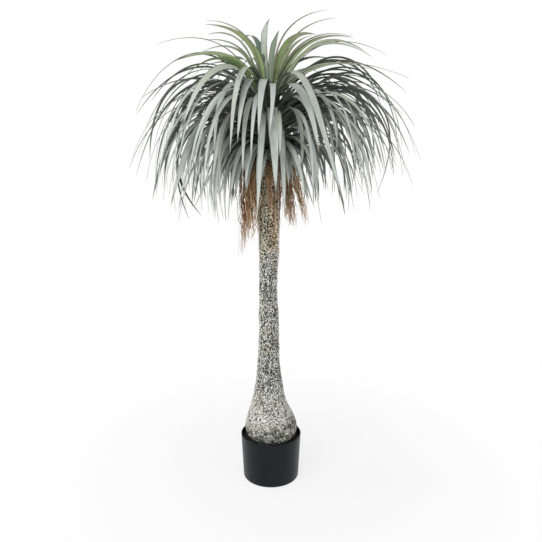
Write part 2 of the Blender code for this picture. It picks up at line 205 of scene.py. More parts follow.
# Degrees that low and high leaves, left and right of the front, turn their underside to it
EXTRA_TURNED_UNDER = ((-13.0, 16.0), (22.0, 28.0))
EXTRA_LOW_TIPS = ((0.85, 0.99), (0.90, 1.04))   # left and right: heights where tips get rare
THINNING = ((0.0, 0.33), (0.0, 0.45))   # share of low and high ones, left and right, left out
RIGHT_SPREAD = 0.14          # how much further out leaves on the right fold over
REACH_HEIGHTS = (1.190, 1.265, 1.300, 1.335, 1.370, 1.400, 1.440)
LEFT_REACHES = (0.455, 0.425, 0.370, 0.315, 0.265, 0.220, 0.170)   # crown's radius at those heights
RIGHT_REACHES = (0.455, 0.412, 0.335, 0.268, 0.235, 0.205, 0.165)
DEPTH_REACH = 1.25           # the crown reaches this many times as far sideways as forwards
EXTRA_FRONT_FREE = 36.0      # half-angle of the front sector that the extra leaves mostly avoid
FRONT_LEFT_OUT = 0.85        # share of them that is left out there, but for the lowest
EXTRA_HIGH_FREE = 66.0       # half-angle of the sector that the upper extra leaves leave free
NEAR_FRONT = (75.0, 25.0)    # degrees off the front where a leaf is not yet, and fully, near it
NEAR_SHAPE = (0.28, 0.14, 0.20)   # how much sooner it then folds, how much shorter and wider it is
EXTRA_MARGIN = 0.012         # metres that an extra leaf may pass the construction's box
SHORTENING = 0.97            # what one that reaches too far is shortened to at each try
LOWERING = 2.0               # and the degrees that its launch is lowered by
CHECK_STATIONS = 12          # points of a leaf's line that are checked
CURLED_SHARE = 0.12          # share of the lower extra leaves whose ends curl back to the trunk
SHORT_LEAVES = 40            # short ones over the tops of the fibre tufts
SHORT_SECTORS = ((-162, -112), (-68, -18))
FIBRE_WINDOW = 0.135         # metres each side of the trunk where no extra leaf ends low in front
FIBRE_WINDOW_TOP = 1.02
DRY_SHARE = 0.03             # share of the lower extra leaves that have dried
EXTRA_CHOSEN = (             # look, leaf: further leaves that show singly
    (Look(), Leaf(-101, 1.216, 37, 0.348, 0.40, 3.2, -85, 0, 0.016, 0)),
    (Look(), Leaf(-81, 1.182, 34, 0.266, 0.42, 3.0, -79, -19, 0.018, 0)),
    (Look(), Leaf(-96, 1.102, -6, 0.228, 0.44, 1.9, -68, -15, 0.014, 0)),
    (Look(), Leaf(-55, 1.207, 38, 0.288, 0.48, 3.3, -87, -3, 0.017, 10)),
    (Look(), Leaf(-50, 1.204, 31, 0.314, 0.29, 2.8, -102, 2, 0.017, 0)),
    (Look(), Leaf(-50, 1.143, 22, 0.320, 0.39, 3.8, -88, -11, 0.020, 15)),
    (Look(), Leaf(-141, 1.219, 32, 0.324, 0.47, 3.3, -85, 6, 0.019, -20)),
    (Look(), Leaf(-133, 1.240, 37, 0.368, 0.39, 3.8, -88, 21, 0.022, -10)),
    (Look(0.6, 0.2), Leaf(-157, 1.278, 72, 0.256, 0.79, 3.6, -58, 3, 0.016, -40)),
    (Look(0.8), Leaf(24, 1.275, 79, 0.213, 0.89, 2.7, -37, -1, 0.018, 35)),
    (Look(0.6, 0.7, width=0.7), Leaf(12, 1.287, 67, 0.315, 0.72, 2.3, -50, 9, 0.012, 40)),
    (Look(0.8), Leaf(8, 1.283, 62, 0.307, 0.72, 2.7, -42, -1, 0.016, 45)),
    (Look(0.2), Leaf(-15, 1.272, 61, 0.348, 0.62, 2.8, -58, -1, 0.016, 45)),
    (Look(0.2), Leaf(-8, 1.277, 65, 0.199, 0.69, 2.3, -46, 0, 0.017, -30)),
    (Look(0.0, -1.0), Leaf(117, 1.283, 81, 0.276, 0.70, 3.2, -59, -8, 0.023, 0)),
    (Look(0.8, 0.1), Leaf(-178, 1.277, 74, 0.240, 0.71, 2.9, -37, 0, 0.010, -35)),
    (Look(0.6), Leaf(172, 1.273, 74, 0.266, 0.62, 3.2, -52, -4, 0.011, -35)),
    (Look(0.7, 0.3), Leaf(2, 1.267, 60, 0.300, 0.70, 3.6, -39, 3, 0.010, 35)),
    (Look(0.5, 0.2), Leaf(-19, 1.267, 44, 0.307, 0.63, 2.1, -43, 3, 0.014, 30)),
    (Look(0.2, 0.2), Leaf(1, 1.256, 45, 0.424, 0.57, 3.8, -79, 10, 0.012, -30)),
    (Look(0.0, 0.3), Leaf(-4, 1.244, 49, 0.441, 0.53, 2.7, -57, 0, 0.011, -30)),
    (Look(0.0, 0.2), Leaf(-2, 1.256, 34, 0.427, 0.47, 2.7, -55, 4, 0.012, -30)),
    (Look(0.0, -1.8, taper=0.6), Leaf(-173, 1.167, 24, 0.514, 0.57, 2.2, -177, 2, 0.010, 60)),
    (Look(0.0, -1.6, taper=0.6), Leaf(-172, 1.173, 17, 0.498, 0.49, 2.5, -134, 5, 0.009, 60)),
    (Look(0.0, 0.6), Leaf(-11, 1.222, 22, 0.600, 0.53, 3.8, -123, 1, 0.008, -40)),
    (Look(), Leaf(-171, 1.257, 42, 0.439, 0.52, 2.5, -74, 0, 0.013, 20)),
    (Look(0.0, 0.1), Leaf(180, 1.222, 36, 0.388, 0.65, 2.6, -56, -11, 0.012, 20)),
    (Look(), Leaf(-6, 1.242, 37, 0.545, 0.52, 3.4, -99, -1, 0.015, -15)),
    (Look(), Leaf(-12, 1.238, 31, 0.486, 0.48, 2.8, -96, 2, 0.016, -15)),
    (Look(0.0, 0.1), Leaf(-143, 1.152, -7, 0.333, 0.31, 1.8, -64, 6, 0.014, -20)),
    (Look(), Leaf(-143, 1.106, 5, 0.318, 0.43, 3.0, -113, -4, 0.017, -15)),
    (Look(), Leaf(-153, 1.113, 13, 0.332, 0.40, 2.7, -108, -3, 0.015, -25)),
    (Look(), Leaf(-139, 1.110, 1, 0.312, 0.39, 3.0, -101, -2, 0.014, -10)),
    (Look(), Leaf(-132, 1.118, -5, 0.296, 0.36, 2.9, -88, -1, 0.017, -10)),
    (Look(taper=0.7), Leaf(-162, 1.208, 22, 0.456, 0.29, 2.8, -77, 0, 0.024, -35)),
    (Look(), Leaf(-166, 1.183, 26, 0.396, 0.42, 2.9, -103, -1, 0.021, -35)),
    (Look(), Leaf(-169, 1.150, 24, 0.436, 0.55, 3.3, -109, -2, 0.012, -20)),
    (Look(), Leaf(-15, 1.219, 36, 0.334, 0.43, 3.3, -103, 1, 0.017, 35)),
    (Look(), Leaf(-44, 1.132, 11, 0.285, 0.39, 2.7, -97, 0, 0.020, 15)),
    (Look(0.3), Leaf(-53, 1.126, -4, 0.262, 0.31, 2.1, -69, 5, 0.016, 10)),
    (Look(), Leaf(-10, 1.167, 22, 0.426, 0.34, 3.0, -92, 1, 0.015, 35)),
    (Look(), Leaf(-15, 1.150, 18, 0.370, 0.36, 3.0, -71, -1, 0.010, 10)),
    (Look(), Leaf(-2, 1.175, 14, 0.416, 0.34, 2.6, -72, 3, 0.010, 10)),
    (Look(), Leaf(-14, 1.198, 29, 0.428, 0.48, 3.0, -91, -1, 0.015, 25)),
    (Look(), Leaf(-15, 1.181, 25, 0.423, 0.49, 3.0, -94, 0, 0.014, -20)),
    (Look(), Leaf(-15, 1.207, 29, 0.476, 0.48, 3.1, -91, -1, 0.014, 20)),
    (Look(), Leaf(-7, 1.147, 28, 0.404, 0.48, 3.1, -91, 1, 0.015, -15)),
)
EXTRA_SEED = 12              # kept out of 24 that were rendered
GOLDEN_ANGLE = 137.508
LEAF_GROUPS = 10             # the extra leaves are joined into this many pieces
PLACE_TRIES = 7
PLACE_STEP = 3.0
CHOSEN_STEP = 1.0

BARK_SIDES = 160
BARK_STEP = 0.0024           # height of one row of bark faces where it shows
BARK_SHOWS = (0.120, 1.12)   # lowest and highest bark that shows
BARK_DEPTH = 0.0032          # from the bottom of a crevice to the top of a scale
BARK_CELLS = Vector((215.0, 215.0, 160.0))     # scales per metre, across and in height
BARK_FISSURES = Vector((70.0, 70.0, 17.0))
BARK_LUMPS = (22.0, 0.0016)  # how often the bark bulges in a metre, and by how much
BARK_FINE_LUMPS = (55.0, 0.0010)
BULB_SWELLS = (0.32, 0.20)   # heights between which the bulb's own wide bulges set in

STRANDS_PER_TUFT = 52
STRAND_STATIONS = 18
TUFT_SHAPE = ((0.0, 0.35, 0.7, 1.0), (0.45, 1.05, 1.0, 0.75))   # spread along its length
# By tuft: shortest and longest strand against its length, how far they lean in to the trunk, and
# the least of each strand's own number, which runs from 0, dark, to 1, tan and olive
STRAND_HABITS = {
    2: (0.60, 1.12, 0.020, 0.0), 3: (0.60, 1.15, 0.008, 0.0), 4: (0.50, 1.00, 0.0, 0.0),
    5: (0.40, 1.00, -0.023, 0.6), 6: (0.45, 1.05, -0.014, 0.3),
}
USUAL_HABIT = (0.55, 1.10, 0.0, 0.2)
WANDER_APART = 137.0         # how far apart the noise is read for the three directions of a shift
FIBRE_SEED = 400
STRAND_WIDTHS = (0.0018, 0.0046)
STRAND_FLATNESS = 0.35
STRAND_WAVES = (             # of a strand's wander: how often, how far at its top, what its end adds
    (3.5, 0.004, 0.006), (15.0, 0.003, 0.008),
)
LOOSE_STRANDS = 34
TAN_STRANDS = 16             # pale ones that hang down the middle of the trunk's front
LOOSE_SEED = 77
LOOSE_POINTS = 12
LOOSE_GAP = 0.001            # between the trunk's plain surface and the middle of a loose strand
LOOSE_WIDTHS = (0.0010, 0.0026)
TAN_WIDTHS = (0.0014, 0.0030)
POT_SIDES = 144
SOIL_GAP = 0.001             # between the soil and the pot's floor and rounding
SOIL_WALL_GAP = 0.0004       # between the soil's top and the pot's wall
SOIL_TAPER = 0.0068          # how much narrower the soil is where the pot's floor rounds off
SOIL_OVER_BULB = 0.002       # how far the soil's top runs into the bulb
SOIL_SWELL = (60.0, 0.004)   # how often the soil's top rises in a metre, and by how much
SOIL_CLODS = (190.0, 0.003)
CRUMBS = 260
CRUMB_SEED = 91
OCTA_POINTS = ((1, 0, 0), (0, 1, 0), (-1, 0, 0), (0, -1, 0), (0, 0, 1), (0, 0, -1))
OCTA_FACES = ((0, 1, 4), (1, 2, 4), (2, 3, 4), (3, 0, 4), (1, 0, 5), (2, 1, 5), (3, 2, 5), (0, 3, 5))

# ---- Studio ----

CAMERA_DISTANCE = 2.15
CAMERA_HEIGHT = 1.253
CAMERA_PITCH = 14.0          # degrees that the camera looks down
SENSOR_WIDTH = 36.0
CAMERA_LENS = 46.228782      # millimetres, like the sensor's width
WORLD_LIGHT = 0.42
FLOOR_FADE = (0.20, 1.10)    # metres from the plant over which the floor turns to plain white
FLOOR_GLOW = 0.78            # share of plain white in the floor right beside the pot
FLOOR_DROP = 0.0005          # how far it lies below the pot's underside
LIGHTS = (                   # name, place, target, width, height, power
    ("key", (-1.3, -2.3, 2.9), (0.0, 0.0, 0.9), 2.0, 2.0, 60.0),
    ("fill", (1.9, -1.9, 1.7), (0.0, 0.0, 0.8), 1.6, 1.8, 10.0),
    ("side_left", (-1.7, 0.1, 0.8), (0.0, 0.0, 0.5), 0.5, 1.6, 8.0),
    ("side_right", (1.7, 0.1, 0.8), (0.0, 0.0, 0.5), 0.5, 1.6, 1.0),
)


# ---- Small helpers ----

def between(value, keys, values):
    """The value that belongs to a key, on straight runs between the given ones."""
    if value <= keys[0]:
        return values[0]
    for (low, at_low), (high, at_high) in zip(zip(keys, values), zip(keys[1:], values[1:])):
        if value <= high:
            return at_low + (at_high - at_low) * (value - low) / (high - low)
    return values[-1]


def smooth_step(value, low, high):
    share = min(1.0, max(0.0, (value - low) / (high - low)))
    return share * share * (3.0 - 2.0 * share)


def trunk_x(height):
    return between(height, *zip(*TRUNK_LINE))


def trunk_radius(height):
    return between(height, *zip(*TRUNK_PROFILE))


def on_trunk(height, radius, angle):
    """The point at a height, a radius from the trunk's middle line and an angle round it."""
    return Vector((trunk_x(height) + radius * math.cos(angle), radius * math.sin(angle), height))


def uneven(place, often, height):
    """A smooth rise or fall at a place; often is about how many there are in a metre."""
    return height * noise.noise(place * often)


def put(name, data):
    """A new object in the scene."""
    thing = bpy.data.objects.new(name, data)
    bpy.context.scene.collection.objects.link(thing)
    return thing


def pot_outer_radius(height):
    return POT_BASE_RADIUS + (POT_RIM_RADIUS - POT_BASE_RADIUS) * height / POT_HEIGHT


class Skin:
    """Collects points, faces and per-point and per-face values of one piece."""

    def __init__(self):
        self.points, self.faces = [], []
        self.point_values, self.face_values = {}, {}

    def add_point(self, place, **values):
        self.points.append(tuple(place))
        for name, value in values.items():
            self.point_values.setdefault(name, []).append(value)
        return len(self.points) - 1

    def add_face(self, corners, **values):
        self.faces.append(tuple(corners))
        for name, value in values.items():
            self.face_values.setdefault(name, []).append(value)

    def close_to_tip(self, rings, tip, sides):
        """Skins rings that run to a tip; sides holds the values of the faces along each side."""
        self.add_face(rings[0], **sides[-1])
        for low, high in zip(rings, rings[1:]):
            for side, values in enumerate(sides):
                after = (side + 1) % len(sides)
                self.add_face((low[side], high[side], high[after], low[after]), **values)
        for side, values in enumerate(sides):
            self.add_face((rings[-1][side], tip, rings[-1][(side + 1) % len(sides)]), **values)

    def add_turned(self, profile, sides, shape):
        """Skins a turned profile; shape(height, radius, angle) gives each point and its values."""
        rings = []
        for height, radius in profile:
            ring = []
            for side in range(sides):
                place, values = shape(height, radius, math.tau * side / sides)
                ring.append(self.add_point(place, **values))
            rings.append(ring)
        self.add_face(reversed(rings[0]))
        for low, high in zip(rings, rings[1:]):
            for side in range(sides):
                after = (side + 1) % sides
                self.add_face((low[side], low[after], high[after], high[side]))
        self.add_face(rings[-1])

    def build(self, name, material, slot):
        mesh = bpy.data.meshes.new(name)
        mesh.from_pydata(self.points, [], self.faces)
        for domain, table in (("POINT", self.point_values), ("FACE", self.face_values)):
            for key, column in table.items():
                kind = "FLOAT_VECTOR" if isinstance(column[0], tuple) else "FLOAT"
                layer = mesh.attributes.new(key, kind, domain)
                field = "vector" if kind == "FLOAT_VECTOR" else "value"
                flat = [part for row in column for part in row] if field == "vector" else column
                layer.data.foreach_set(field, flat)
        work = bmesh.new()
        work.from_mesh(mesh)
        bmesh.ops.recalc_face_normals(work, faces=work.faces)
        work.to_mesh(mesh)
        work.free()
        mesh.shade_smooth()
        mesh.materials.append(material)
        piece = put(name, mesh)
        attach(piece, "root")
        return piece


# ---- Material helpers ----

class Nodes:
    """Short calls for building the node tree of a material or a world."""

    def __init__(self, owner):
        owner.use_nodes = True
        self.owner = owner
        self.tree = owner.node_tree
        self.shader = self.tree.nodes.get("Principled BSDF")

    def feed(self, socket, value):
        if isinstance(value, bpy.types.NodeSocket):
            self.tree.links.new(value, socket)
        else:
            socket.default_value = value

    def add(self, kind, inputs=None, **settings):
        """A new node with its settings and inputs; gives its outputs."""
        new_node = self.tree.nodes.new(kind)
        for key, value in settings.items():
            setattr(new_node, key, value)
        for key, value in (inputs or {}).items():
            self.feed(new_node.inputs[key], value)
        return new_node.outputs

    def attribute(self, name, output="Fac"):
        return self.add("ShaderNodeAttribute", attribute_name=name)[output]

    def place(self):
        return self.add("ShaderNodeTexCoord")["Object"]

    def split(self, vector):
        return self.add("ShaderNodeSeparateXYZ", {0: vector})

    def math(self, operation, first, second=0.0):
        return self.add("ShaderNodeMath", {0: first, 1: second}, operation=operation)[0]

    def plus(self, first, second):
        return self.math("ADD", first, second)

    def times(self, first, second):
        return self.math("MULTIPLY", first, second)

    def scaled(self, vector, scale):
        return self.add("ShaderNodeMapping", {"Vector": vector, "Scale": scale})[0]

    def noise(self, vector, scale, detail, roughness):
        return self.add("ShaderNodeTexNoise", {"Vector": vector, "Scale": scale, "Detail": detail,
                                               "Roughness": roughness})["Fac"]

    def ramp(self, value, low, high, to_low=0.0, to_high=1.0):
        return self.add("ShaderNodeMapRange", {"Value": value, "From Min": low, "From Max": high,
                                               "To Min": to_low, "To Max": to_high},
                        interpolation_type="SMOOTHSTEP")["Result"]

    def mix(self, share, first, second, blend="MIX"):
        first, second = [value if isinstance(value, bpy.types.NodeSocket) else (*value, 1.0)
                         for value in (first, second)]
        return self.add("ShaderNodeMix", {"Factor": share, 6: first, 7: second},
                        data_type="RGBA", blend_type=blend)[2]

    def layers(self, colour, *rows):
        """Mixes tints over a colour; a row holds a tint, the value that brings it in and its ramp."""
        for tint, value, *span in rows:
            colour = self.mix(self.ramp(value, *span), colour, tint)
        return colour

    def bump(self, height, strength, distance):
        bumped = self.add("ShaderNodeBump", {"Height": height, "Strength": strength,
                                             "Distance": distance})
        self.feed(self.shader.inputs["Normal"], bumped[0])

    def finish(self, colour, roughness, specular=0.5):
        """Feeds the material's shader, and gives the material."""
        self.feed(self.shader.inputs["Base Color"], colour)
        self.feed(self.shader.inputs["Roughness"], roughness)
        self.feed(self.shader.inputs["Specular IOR Level"], specular)
        return self.owner


def new_material(name):
    return Nodes(bpy.data.materials.new(name))


# ---- Materials ----

def leaf_material():
    """Waxy strap leaf: pale bloom above, darker below, fine veins along it, brown dry tip. Painted shade
    darkens its base and partly its underside; painted light brightens its outer part.

    leaf_place holds metres across and along the blade and a number of the leaf's own;
    leaf_state holds the share of the length, the youth of the leaf and its dryness, which is
    below 0 on a leaf of a deeper green and nears -2 on one with a blackened end."""
    nodes = new_material("yucca_leaf")
    place = nodes.attribute("leaf_place", "Vector")
    own = nodes.split(place)[2]
    along, youth, dryness = nodes.split(nodes.attribute("leaf_state", "Vector"))
    under = nodes.attribute("leaf_under")

    veins = nodes.noise(nodes.scaled(place, (1900.0, 7.0, 31.0)), 1.0, 3.0, 0.6)
    wide_veins = nodes.noise(nodes.scaled(place, (520.0, 3.0, 57.0)), 1.0, 2.0, 0.5)
    cloud = nodes.noise(nodes.scaled(place, (45.0, 14.0, 83.0)), 1.0, 3.0, 0.6)
    own_noise = nodes.noise(nodes.scaled(place, (0.0, 0.0, 9.7)), 1.0, 0.0, 0.5)

    cloudy = (cloud, 0.35, 0.65)
    old_top = nodes.layers((0.35, 0.385, 0.355),
                           ((0.565, 0.61, 0.57), *cloudy),
                           ((0.44, 0.48, 0.385), own_noise, 0.50, 0.66),
                           ((0.44, 0.475, 0.475), own_noise, 0.46, 0.36, 0.0, 0.8),
                           # painted light: the upper face gets lighter towards its outer part, which
                           # hangs out of the crown's shade
                           ((0.66, 0.71, 0.665), along, 0.40, 0.85, 0.0, 0.60))
    # The underside: darker than the top, partly its own colour and partly painted shade
    old_low = nodes.layers((0.040, 0.053, 0.042),
                           ((0.085, 0.103, 0.086), *cloudy),
                           # painted light: paler towards the outer part, as if light shone through the
                           # hanging blade
                           ((0.22, 0.245, 0.215), along, 0.48, 0.85, 0.0, 0.52))
    young_top = nodes.layers((0.185, 0.300, 0.070),
                             ((0.280, 0.385, 0.125), *cloudy),
                             ((0.235, 0.235, 0.130), along, 0.35, 0.80, 0.0, 0.75))
    young_low = nodes.layers((0.135, 0.230, 0.055), ((0.220, 0.320, 0.105), *cloudy))
    colour = nodes.mix(under, nodes.mix(youth, old_top, young_top), nodes.mix(youth, old_low, young_low))
    colour = nodes.mix(nodes.ramp(veins, 0.30, 0.70, 0.30, 0.0), colour, (0.08, 0.11, 0.07), "MULTIPLY")
    colour = nodes.layers(colour,
                          ((0.62, 0.68, 0.58), wide_veins, 0.35, 0.70, 0.0, 0.22),
                          # painted shade: darker green towards the base, deep in the crown
                          ((0.23, 0.31, 0.18), along, 0.16, 0.02, 0.0, 0.55))
    ragged = nodes.plus(along, nodes.times(nodes.math("SUBTRACT", cloud, 0.5), 0.10))
    tip = nodes.times(nodes.ramp(ragged, 0.86, 0.97), nodes.ramp(own_noise, 0.42, 0.55, 0.35, 1.0))
    colour = nodes.mix(tip, colour, (0.135, 0.100, 0.062))
    edge = nodes.attribute("leaf_edge")
    # Dark margins: painted shade, so that blades seen edge-on look dark
    colour = nodes.layers(colour, ((0.10, 0.115, 0.095), edge, 0.70, 1.0, 0.0, 0.40))
    young_edge = nodes.times(nodes.ramp(edge, 0.70, 1.0, 0.0, 0.20), youth)
    colour = nodes.mix(young_edge, colour, (0.15, 0.12, 0.075))
    colour = nodes.mix(dryness, colour, (0.155, 0.110, 0.075))
    colour = nodes.layers(colour, ((0.080, 0.130, 0.090), dryness, 0.0, -1.0, 0.0, 0.9))
    blackened = nodes.times(nodes.ramp(dryness, -1.0, -2.0), nodes.ramp(along, 0.55, 0.72))
    colour = nodes.mix(blackened, colour, (0.008, 0.010, 0.008))
    nodes.bump(nodes.plus(nodes.times(veins, 0.5), wide_veins), 0.35, 0.0006)
    return nodes.finish(colour, nodes.ramp(cloud, 0.3, 0.7, 0.46, 0.60), 0.42)


def bark_material():
    """Speckled grey bark with dark crevices; paler on the bulb, with moss patches and painted shade on
    its left and right sides, stained where it is low, tan higher up with painted light on its right
    side.
    """
    nodes = new_material("yucca_bark")
    place = nodes.place()
    side, _, height = nodes.split(place)
    relief = nodes.attribute("relief")
    speckle = nodes.noise(nodes.scaled(place, (1.0, 1.0, 0.75)), 420.0, 3.0, 0.6)
    grain = nodes.noise(nodes.scaled(place, (1.0, 1.0, 0.75)), 275.0, 2.0, 0.5)
    patches = nodes.noise(place, 34.0, 3.0, 0.55)
    blotches = nodes.noise(nodes.scaled(place, (1.0, 1.0, 1.3)), 62.0, 4.0, 0.6)
    lift = nodes.plus(nodes.times(relief, 0.35), nodes.times(grain, 0.65))
    pale = nodes.mix(nodes.ramp(patches, 0.42, 0.60), (0.45, 0.46, 0.435), (0.47, 0.465, 0.375))
    dark = nodes.mix(nodes.ramp(patches, 0.42, 0.60), (0.024, 0.026, 0.023), (0.038, 0.040, 0.026))
    colour = nodes.layers(dark,
                          (pale, lift, 0.42, 0.52),
                          ((0.88, 0.88, 0.84), lift, 0.535, 0.605, 0.0, 0.92))
    bulb = nodes.ramp(height, 0.36, 0.22)
    fine = nodes.plus(nodes.times(lift, 0.55), nodes.times(speckle, 0.45))
    bulb_pale = nodes.mix(nodes.ramp(fine, 0.41, 0.51), (0.050, 0.050, 0.035), (0.81, 0.80, 0.75))
    colour = nodes.mix(nodes.times(bulb, 0.85), colour, bulb_pale)
    # Painted shade: the bulb's left and right sides are multiplied darker and greener; moss patches add
    # to it
    shaded = nodes.ramp(nodes.math("ABSOLUTE", side), 0.050, 0.084, 0.0, 0.55)
    moss_and_side_shade = nodes.math("MAXIMUM", shaded, nodes.ramp(patches, 0.50, 0.60, 0.0, 0.55))
    colour = nodes.mix(nodes.times(bulb, moss_and_side_shade), colour, (0.58, 0.60, 0.47), "MULTIPLY")
    tilted = nodes.math("SUBTRACT", height, nodes.times(side, 0.22))
    low = nodes.ramp(tilted, 0.232, 0.190)
    stain = nodes.times(low, nodes.ramp(blotches, 0.40, 0.53))
    colour = nodes.mix(nodes.times(stain, 0.92), colour, (0.16, 0.17, 0.125), "MULTIPLY")
    flecks = nodes.times(bulb, nodes.ramp(fine, 0.57, 0.65, 0.0, 0.75))
    colour = nodes.mix(flecks, colour, (0.86, 0.86, 0.83))
    ragged = nodes.plus(height, nodes.times(nodes.math("SUBTRACT", blotches, 0.5), 0.16))
    # Tan higher up the trunk; lighter and warmer on the right side as painted light, greyer on the left
    # as painted shade
    tint = nodes.mix(nodes.ramp(side, -0.014, 0.002), (0.95, 0.90, 0.75), (1.12, 0.93, 0.74))
    colour = nodes.mix(nodes.ramp(ragged, 0.745, 0.815), colour, tint, "MULTIPLY")
    colour = nodes.layers(colour, ((0.035, 0.046, 0.024), height, 1.06, 1.11))
    nodes.bump(speckle, 0.6, 0.0012)
    return nodes.finish(colour, nodes.ramp(lift, 0.3, 0.7, 0.95, 0.80))


def fibre_material():
    """Dry leaf fibre: red-brown strands with tan and olive ones among them."""
    nodes = new_material("dry_fibre")
    own, along, _ = nodes.split(nodes.attribute("strand_state", "Vector"))
    place = nodes.place()
    streak = nodes.noise(nodes.scaled(place, (1.0, 1.0, 0.12)), 700.0, 2.0, 0.5)
    colour = nodes.layers((0.040, 0.019, 0.010),
                          ((0.29, 0.120, 0.053), own, 0.24, 0.34),
                          ((0.50, 0.250, 0.118), own, 0.48, 0.58),
                          ((0.68, 0.50, 0.30), own, 0.74, 0.80),
                          ((0.23, 0.21, 0.09), own, 0.92, 0.97),
                          ((0.05, 0.03, 0.02), streak, 0.35, 0.65, 0.30, 0.0),
                          # painted shade: darker towards each strand's top, under the crown
                          ((0.040, 0.024, 0.013), along, 0.48, 0.02, 0.0, 0.85),
                          ((0.60, 0.43, 0.27), along, 0.55, 0.95, 0.0, 0.50))
    nodes.bump(streak, 0.4, 0.0005)
    return nodes.finish(colour, 0.78, 0.25)


def pot_material():
    """Satin blue-black moulded plastic with a very fine grain and dusty streaks."""
    nodes = new_material("pot_plastic")
    place = nodes.place()
    grain = nodes.noise(place, 900.0, 2.0, 0.5)
    wipe = nodes.noise(nodes.scaled(place, (1.0, 1.0, 0.35)), 26.0, 4.0, 0.6)
    colour = nodes.mix(nodes.ramp(wipe, 0.35, 0.70), (0.0022, 0.0038, 0.0070), (0.0040, 0.0062, 0.0098))
    nodes.bump(grain, 0.10, 0.0002)
    return nodes.finish(colour, nodes.ramp(wipe, 0.3, 0.7, 0.30, 0.40), 0.21)


def soil_material():
    """Dark crumbly growing mix with a few paler bits."""
    nodes = new_material("potting_soil")
    place = nodes.place()
    clods = nodes.noise(place, 260.0, 5.0, 0.7)
    bits = nodes.noise(place, 720.0, 2.0, 0.6)
    colour = nodes.layers((0.006, 0.005, 0.004),
                          ((0.030, 0.024, 0.018), clods, 0.35, 0.70),
                          ((0.10, 0.085, 0.065), bits, 0.66, 0.74, 0.0, 0.6))
    nodes.bump(clods, 0.8, 0.0015)
    return nodes.finish(colour, 0.96)


# ---- Leaves ----

def drooping_line(azimuth, start, launch, length, fold, snap, hang, sway, stations):
    """Points and headings of a line that leaves the trunk at launch and folds over to hang."""
    step = length / stations
    point = start.copy()
    points, headings = [point.copy()], []
    for index in range(stations):
        share = (index + 0.5) / stations
        elevation = math.radians(hang + (launch - hang) / (1.0 + (share / fold) ** snap))
        heading = math.radians(azimuth + sway * share * share)
        direction = Vector((math.cos(elevation) * math.cos(heading),
                            math.cos(elevation) * math.sin(heading), math.sin(elevation)))
        point += direction * step
        points.append(point.copy())
        headings.append((direction, heading))
    headings.append(headings[-1])
    return points, headings


def leaf_line(leaf, stations, out=0.0):
    start = on_trunk(leaf.base, trunk_radius(leaf.base) + out, math.radians(leaf.azimuth))
    return drooping_line(leaf.azimuth, start, leaf.launch, leaf.length, leaf.fold, leaf.snap,
                         leaf.hang, leaf.sway, stations)


def blade_width(share, taper=1.0):
    """Width of a blade at a share of its length; a lower taper keeps it wide nearer to the tip."""
    opening = min(1.0, LEAF_BASE_SHARE + LEAF_OPENING * share)
    narrowing = min(1.0, (1.0 - share) / (LEAF_TAPER_SHARE * taper)) ** LEAF_TAPER_POWER
    return opening * narrowing


def cross_axes(headings, index, roll=0.0):
    """Direction of a line at one station, with the two axes across it after a roll in degrees."""
    direction, heading = headings[index]
    if 0 < index < len(headings) - 1:
        direction = (direction + headings[index - 1][0]).normalized()
    across = Vector((-math.sin(heading), math.cos(heading), 0.0))
    across = Matrix.Rotation(math.radians(roll), 3, direction) @ across
    return direction, across, direction.cross(across)


def add_blade(skin, leaf, chance, look, max_curl=MAX_CURL):
    """One leaf: a shallow channel across, thin edges, a slow roll and a thread-like tip."""
    line, headings = leaf_line(leaf, BLADE_STATIONS, LEAF_SEAT)
    line[0] -= headings[0][0] * ROOT_DEPTH
    own = chance.uniform(0.0, 100.0)
    curl = chance.uniform(-max_curl, max_curl)
    curl = curl if look.curl is None else look.curl
    wave_phase = chance.uniform(0.0, math.tau)
    wave_count = chance.uniform(*RIPPLE_COUNTS)
    top = [side / BLADE_HALF for side in range(-BLADE_HALF, BLADE_HALF + 1)]
    spots = [(x, 0.0) for x in top] + [(x, 1.0) for x in reversed(top[1:-1])]
    rings = []
    for index in range(BLADE_STATIONS):
        share = index / BLADE_STATIONS
        roll = leaf.roll * min(1.0, share / LEAF_TWIST_SHARE) + curl * share ** 2
        _, across, normal = cross_axes(headings, index, roll)
        width = leaf.width * look.width * blade_width(share, look.taper)
        more, fade = CHANNEL_AT_BASE
        channel = width * (CHANNEL_DEPTH + more * (1.0 - smooth_step(share, 0.0, fade)))
        ripple = RIPPLE * width * math.sin(wave_phase + wave_count * math.tau * share)
        thickness = BLADE_THICKNESS * (TIP_THICKNESS + (1.0 - TIP_THICKNESS) * (1.0 - share))
        ring = []
        for x, below in spots:
            rise = channel * abs(x) ** 1.5 + ripple * x - below * thickness * (1.0 - x * x)
            place = line[index] + across * (x * width / 2)
            place += normal * rise
            ring.append(skin.add_point(place, leaf_state=(share, look.youth, look.dry),
                                       leaf_edge=abs(x),
                                       leaf_place=(x * width / 2, share * leaf.length, own)))
        rings.append(ring)
    tip = skin.add_point(line[-1], leaf_state=(1.0, look.youth, look.dry), leaf_edge=1.0,
                         leaf_place=(0.0, leaf.length, own))
    upper, under = [[{"leaf_under": value}] * (len(top) - 1) for value in (0.0, 1.0)]
    skin.close_to_tip(rings, tip, upper + under)


def proxy_solid(leaf, first=0):
    """A plain four-sided stand-in of a leaf, for finding room in the crown."""
    line, headings = leaf_line(leaf, PROXY_STATIONS)
    points, faces = [], []
    for index in range(first, PROXY_STATIONS):
        share = index / PROXY_STATIONS
        _, across, normal = cross_axes(headings, index, leaf.roll * min(1.0, share / LEAF_TWIST_SHARE))
        width = leaf.width * blade_width(share)
        points += [line[index] - across * width / 2 + normal * width * PROXY_CHANNEL,
                   line[index] - normal * PROXY_HALF_THICKNESS,
                   line[index] + across * width / 2 + normal * width * PROXY_CHANNEL,
                   line[index] + normal * PROXY_HALF_THICKNESS]
    for row in range(PROXY_STATIONS - first - 1):
        for side in range(4):
            after = (side + 1) % 4
            low, high = row * 4, row * 4 + 4
            faces.append((low + side, high + side, high + after, low + after))
    return points, faces


